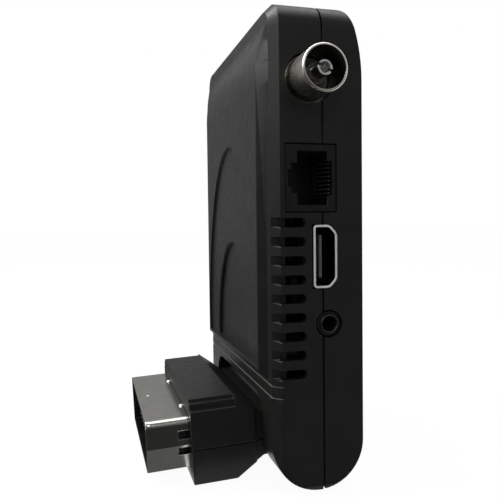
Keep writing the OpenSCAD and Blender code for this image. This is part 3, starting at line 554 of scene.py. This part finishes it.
def video_lip():
    """The bright rolled lip round the video socket's mouth: a bead along the middle of its shell's wall."""
    wall, cut_x, cut_z, corner_r = 0.4 * MM, 1.7 * MM, 1.9 * MM, 0.7 * MM
    inset, thick, deep = 0.1 * MM, 0.56 * MM, 0.5 * MM
    low, high = (np.array(corner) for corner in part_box("video_socket_shell"))
    x0, x1, z0, z1 = low[0] + wall / 2, high[0] - wall / 2, low[2] + wall / 2, high[2] - wall / 2
    outline = [(x0, z0), (x1 - cut_x, z0), (x1, z0 + cut_z), (x1, z1 - cut_z), (x1 - cut_x, z1), (x0, z1)]
    corners = np.array([(x, low[1] + inset, z) for x, z in outline])
    points = bead(rounded_path(corners, corner_r), thick, deep)
    # The lip's finish is nickel made white, partly a painted highlight
    closed_skin("video_socket_lip", points, "nickel_with_painted_highlight", "case", ring=True)


def infrared_ring():
    """The dark metal ring in the infrared jack's mouth: a bead along a circle just outside its bore."""
    radius, inset, thick, deep = 2.06 * MM, 0.06 * MM, 0.42 * MM, 0.3 * MM
    turn = full_turn(48)
    face = np.full(len(turn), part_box("infrared_socket")[0][1] + inset)
    path = np.stack([INFRARED[0] + radius * np.cos(turn), face, INFRARED[2] + radius * np.sin(turn)], axis=1)
    points = bead(path, thick, deep)
    closed_skin("infrared_jack_ring", points, "black_nickel_and_painted_shade", "case", ring=True)


def shield_dome(name, ahead, side, radius, height):
    """A pressed dome on the shield's top, in mm: a quarter ellipse spun about an upright axis, closed below."""
    sunk = 0.02
    rise = np.linspace(0, np.pi / 2, 7)
    profile_r = np.append(radius * np.sin(rise), 0.0)[:, None] * MM
    profile_h = np.append(height * np.cos(rise), 0.0)[:, None] * MM
    turn = full_turn(20)
    spun = np.stack([profile_r * np.cos(turn), profile_r * np.sin(turn), np.repeat(profile_h, len(turn), axis=1)],
                    axis=-1)
    points = plug_place(ahead, side, SHIELD_TOP - sunk) + spun
    closed_skin(name, points, "bright_nickel", "plug")


video_lip()
infrared_ring()
shield_dome("shield_tab_far", 29.8, 12.8, 0.75, 0.45)
shield_dome("shield_tab_near", 29.8, -12.8, 0.75, 0.45)
shield_dome("shield_dimple", 37.3, 0.5, 0.55, 0.12)


# Stage


WHITE = (1, 1, 1, 1)


def photograph_camera():
    """Camera solved from the photograph: its place and its right, up and back directions as columns."""
    data = bpy.data.cameras.new("photograph_camera")
    data.sensor_fit = "HORIZONTAL"
    data.sensor_width = 36.0
    data.lens = 42.38
    data.clip_start = 0.005
    camera = bpy.data.objects.new("photograph_camera", data)
    right = (0.96475478, -0.2628611, -0.01233919)
    up = (0.02306163, 0.03774506, 0.99902126)
    back = (-0.26213808, -0.9640951, 0.04247673)
    place = np.array([-52.672, -167.914, 64.538]) * MM + HINGE * (1, 1, 0)
    turn = Matrix((right, up, back)).transposed()
    camera.matrix_world = Matrix.Translation(Vector(place)) @ turn.to_4x4()
    bpy.context.scene.collection.objects.link(camera)
    bpy.context.scene.camera = camera


def soft_lamp(name, place, target, size, power):
    """A square area lamp at a place, turned to face a target."""
    data = bpy.data.lights.new(name, "AREA")
    data.size = size
    data.energy = power
    lamp = bpy.data.objects.new(name, data)
    lamp.location = place
    lamp.rotation_euler = (Vector(target) - Vector(place)).to_track_quat("-Z", "Y").to_euler()
    bpy.context.scene.collection.objects.link(lamp)


def upright(start, end, low, high):
    """Corners of an upright rectangle over the line from start to end, between two heights."""
    return [(*start, low), (*end, low), (*end, high), (*start, high)]


def lying(x0, x1, y0, y1, height=1 * MM):
    """Corners of a level rectangle, just above the floor unless its height is given."""
    return [(x0, y0, height), (x1, y0, height), (x1, y1, height), (x0, y1, height)]


def stage_sheet(name, corners, colour):
    """A flat, dull staged rectangle through four corners, and its finish."""
    mesh = bpy.data.meshes.new(name)
    mesh.from_pydata(corners, [], [(0, 1, 2, 3)])
    sheet = bpy.data.objects.new(name, mesh)
    bpy.context.scene.collection.objects.link(sheet)
    f = Finish(name)
    f.shader.inputs["Base Color"].default_value = (*colour, 1)
    f.shader.inputs["Roughness"].default_value = 1.0
    f.shader.inputs["Specular IOR Level"].default_value = 0.0
    dress(sheet, f.material)
    return sheet, f


def studio_floor(colour, glow, strength):
    """A pale floor, of which camera and mirror rays see the share glow as white, so that shadows stay."""
    _, f = stage_sheet("floor", lying(-6, 6, -6, 6, 0), colour)
    paths = f.node("ShaderNodeLightPath")
    seen = f.node("ShaderNodeMath", operation="MAXIMUM")
    f.link(paths.outputs["Is Camera Ray"], seen.inputs[0])
    f.link(paths.outputs["Is Glossy Ray"], seen.inputs[1])
    share = f.node("ShaderNodeMath", operation="MULTIPLY")
    f.link(seen.outputs[0], share.inputs[0])
    share.inputs[1].default_value = glow
    white = f.node("ShaderNodeEmission", Color=WHITE, Strength=strength)
    mix = f.node("ShaderNodeMixShader")
    f.link(share.outputs[0], mix.inputs["Fac"])
    f.link(f.shader.outputs["BSDF"], mix.inputs[1])
    f.link(white.outputs["Emission"], mix.inputs[2])
    f.link(mix.outputs["Shader"], f.tree.nodes["Material Output"].inputs["Surface"])


def studio_card(name, corners, level, shades=False):
    """A flat staged card of even grey that the camera doesn't see; unless it shades, it is in reflections only."""
    card, f = stage_sheet(name, corners, (0, 0, 0))
    grey = f.node("ShaderNodeEmission", Color=(level, level, level, 1))
    f.link(grey.outputs["Emission"], f.tree.nodes["Material Output"].inputs["Surface"])
    card.visible_camera = False
    card.visible_shadow = card.visible_diffuse = shades


def studio_world(strength):
    """A white world to the camera and to reflections, and a soft even light of the given strength."""
    world = bpy.data.worlds.new("studio")
    world.use_nodes = True
    nodes, link = world.node_tree.nodes, world.node_tree.links.new
    light = nodes["Background"]
    light.inputs["Color"].default_value = WHITE
    light.inputs["Strength"].default_value = strength
    white = nodes.new("ShaderNodeBackground")
    white.inputs["Color"].default_value = WHITE
    paths = nodes.new("ShaderNodeLightPath")
    mirrored, seen = nodes.new("ShaderNodeMath"), nodes.new("ShaderNodeMath")
    mirrored.operation = seen.operation = "MAXIMUM"
    link(paths.outputs["Is Glossy Ray"], mirrored.inputs[0])
    link(paths.outputs["Is Transmission Ray"], mirrored.inputs[1])
    link(paths.outputs["Is Camera Ray"], seen.inputs[0])
    link(mirrored.outputs[0], seen.inputs[1])
    mix = nodes.new("ShaderNodeMixShader")
    link(seen.outputs[0], mix.inputs["Fac"])
    link(light.outputs["Background"], mix.inputs[1])
    link(white.outputs["Background"], mix.inputs[2])
    link(mix.outputs["Shader"], nodes["World Output"].inputs["Surface"])
    bpy.context.scene.world = world


# Cards, in metres: the plug's floor card, which paints shade on the floor by the plug into reflections, ends
# beside the case, and the far one under the hood's front edge
CAMERA_WALL, BACK_WALL, FLOOR_SPLIT = -0.5, 0.8, -0.03
LEFT_START, LEFT_END = (-0.9, -0.1), (-0.5, CAMERA_WALL)
PLUG_SHADOW_CARD_END, FAR_CARD_END = 0.008, -0.0152
CARDS = [
    ("camera_side_card", upright((-0.5, CAMERA_WALL), (2.5, CAMERA_WALL), 0, 2), 0.15, True),
    ("high_front_card", upright((0, CAMERA_WALL + 0.01), (0.8, CAMERA_WALL + 0.01), 0.21, 0.6), 0.4),
    ("left_card", upright(LEFT_START, LEFT_END, 0, 0.24), 0.05),
    ("high_left_card", upright(LEFT_START, LEFT_END, 0.3, 0.6), 2.5),
    ("edge_light_card", [(-0.45, 0, 0.62), (-0.15, 0, 0.72), (-0.15, 0.25, 0.72), (-0.45, 0.25, 0.62)], 12),
    ("back_card", upright((-1.6, BACK_WALL), (0.8, BACK_WALL), 0, 1.2), 0.28),
    ("ramp_card", upright((-0.3, BACK_WALL - 0.01), (0.08, BACK_WALL - 0.01), 0.36, 0.7), 0.6),
    # A near-black sheet on the floor by the plug, seen only in reflections: painted shade on the floor
    ("plug_floor_card", lying(-0.5, PLUG_SHADOW_CARD_END, CAMERA_WALL, FLOOR_SPLIT), 0.03),
    ("near_floor_card", lying(PLUG_SHADOW_CARD_END, 1.5, CAMERA_WALL, FLOOR_SPLIT), 0.2),
    ("far_floor_card", lying(-1.6, FAR_CARD_END, FLOOR_SPLIT, BACK_WALL), 0.14),
]

photograph_camera()
studio_world(0.42)
soft_lamp("key_left", (-0.53, 0.22, 0.45), (0, 0, 0.07), 0.3, 2.2)
soft_lamp("top", (0.1, 0.1, 0.7), (0, 0, 0.05), 0.5, 1.2)
soft_lamp("fill", (-0.12, -0.46, 0.32), (0, -0.04, 0.09), 0.12, 0.22)
studio_floor((0.9, 0.9, 0.9), 0.9, 1.06)
for card in CARDS:
    studio_card(*card)
bpy.context.scene.view_settings.view_transform = "Standard"
